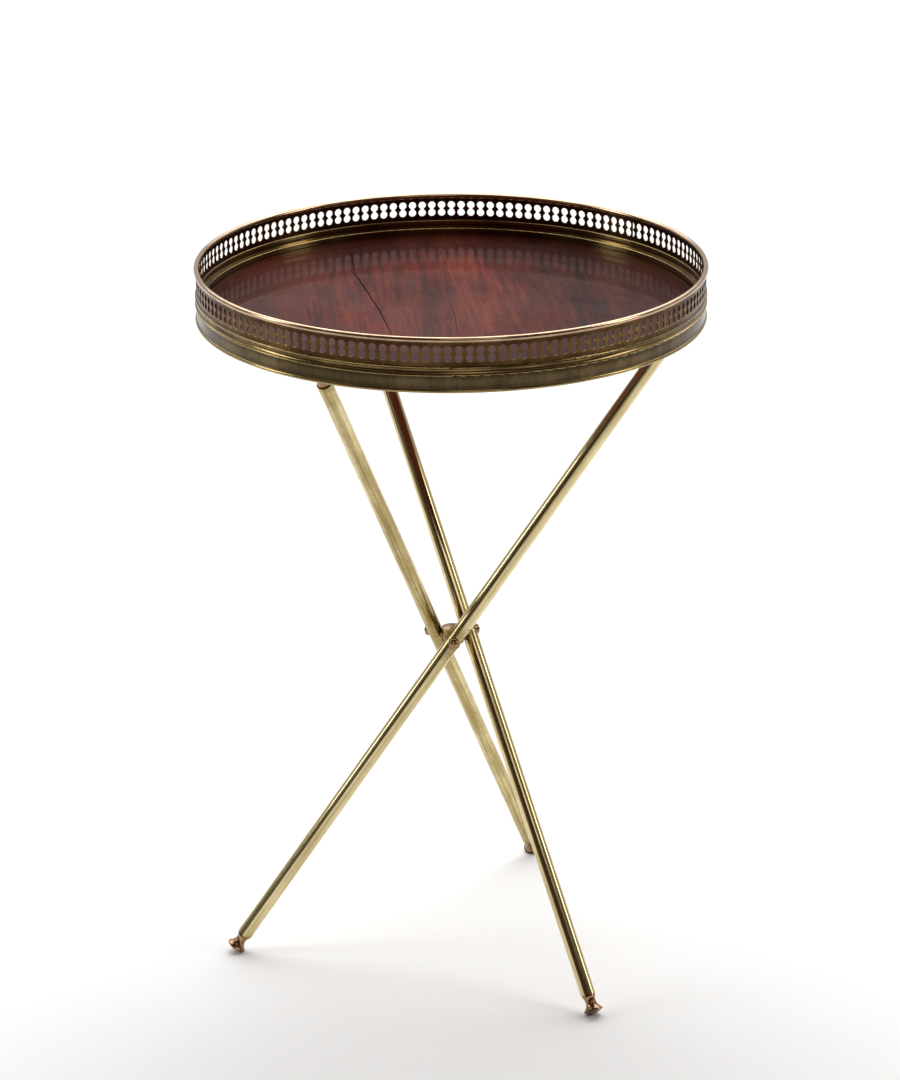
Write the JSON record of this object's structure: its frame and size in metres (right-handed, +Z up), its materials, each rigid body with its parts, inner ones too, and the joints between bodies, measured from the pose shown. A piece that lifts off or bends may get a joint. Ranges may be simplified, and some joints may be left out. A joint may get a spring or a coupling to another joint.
{
  "type": "folding tray table",
  "caption": "Round pierced-gallery brass tray with a wooden top, on a folding crossed tripod of brass tubes with turned feet.",
  "frame": {"origin": "on the floor, below the centre of the tray", "axes": "+Z up; the leg that passes in front of the hub has its pivot screw facing -Y"},
  "size_m": [0.46, 0.46, 0.6685],
  "materials": {
    "mahogany": "glossy french polish over red mahogany",
    "aged_brass": "aged dark patina",
    "tray_mouldings": "aged, rubbed bright on the crests",
    "polished_brass": "polished, lightly tarnished",
    "turned_brass": "turned, warm coppery tarnish",
    "screw_steel": "dull steel"
  },
  "bodies": {
    "hub": {"hub_body": "turned_brass", "hub_top_cap": "turned_brass", "hub_bottom_cap": "turned_brass", "hub_stud": "screw_steel", "pivot_screws": "turned_brass", "spacer_washers": "turned_brass"},
    "leg_a": {"leg_a_upper_tube": "polished_brass", "leg_a_lower_tube": "polished_brass", "leg_a_core": "turned_brass", "leg_a_core_pin": "turned_brass", "leg_a_saddle": "turned_brass", "leg_a_foot": "turned_brass", "leg_a_top_peg": "turned_brass"},
    "leg_b": {"leg_b_upper_tube": "polished_brass", "leg_b_lower_tube": "polished_brass", "leg_b_core": "turned_brass", "leg_b_core_pin": "turned_brass", "leg_b_saddle": "turned_brass", "leg_b_foot": "turned_brass", "leg_b_top_peg": "turned_brass"},
    "leg_c": {"leg_c_upper_tube": "polished_brass", "leg_c_lower_tube": "polished_brass", "leg_c_core": "turned_brass", "leg_c_core_pin": "turned_brass", "leg_c_saddle": "turned_brass", "leg_c_foot": "turned_brass", "leg_c_top_peg": "turned_brass"},
    "tray": {"tray_board": "mahogany", "gallery_strip": "aged_brass", "rim_bead": "tray_mouldings", "moulding_ring": "tray_mouldings", "apron_band": "aged_brass", "base_ring": "tray_mouldings", "leg_seats": "tray_mouldings", "seat_screws": "screw_steel", "ledge_screw_set": "screw_steel"}
  },
  "joints": [
    {"name": "leg_a_fold", "type": "hinge", "parent": "hub", "child": "leg_a", "pos_m": [0.00087, -0.01776, 0.31], "axis": [0.0489, -0.9988, 0], "range_deg": [0, 34]},
    {"name": "leg_b_fold", "type": "hinge", "parent": "hub", "child": "leg_b", "pos_m": [0.01494, 0.00963, 0.31], "axis": [0.8406, 0.5417, 0], "range_deg": [0, 34]},
    {"name": "leg_c_fold", "type": "hinge", "parent": "hub", "child": "leg_c", "pos_m": [-0.01581, 0.00813, 0.31], "axis": [-0.8894, 0.4571, 0], "range_deg": [0, 34]},
    {"name": "tray_lift", "type": "slide", "parent": "hub", "child": "tray", "axis": [0, 0, 1], "range_m": [0, 0.36]}
  ],
  "couplings": [
    {"joint": "leg_b_fold", "follows": "leg_a_fold", "ratio": 1},
    {"joint": "leg_c_fold", "follows": "leg_a_fold", "ratio": 1},
    {"joint": "tray_lift", "follows": "leg_a_fold", "m_per_rad": 0.6}
  ]
}
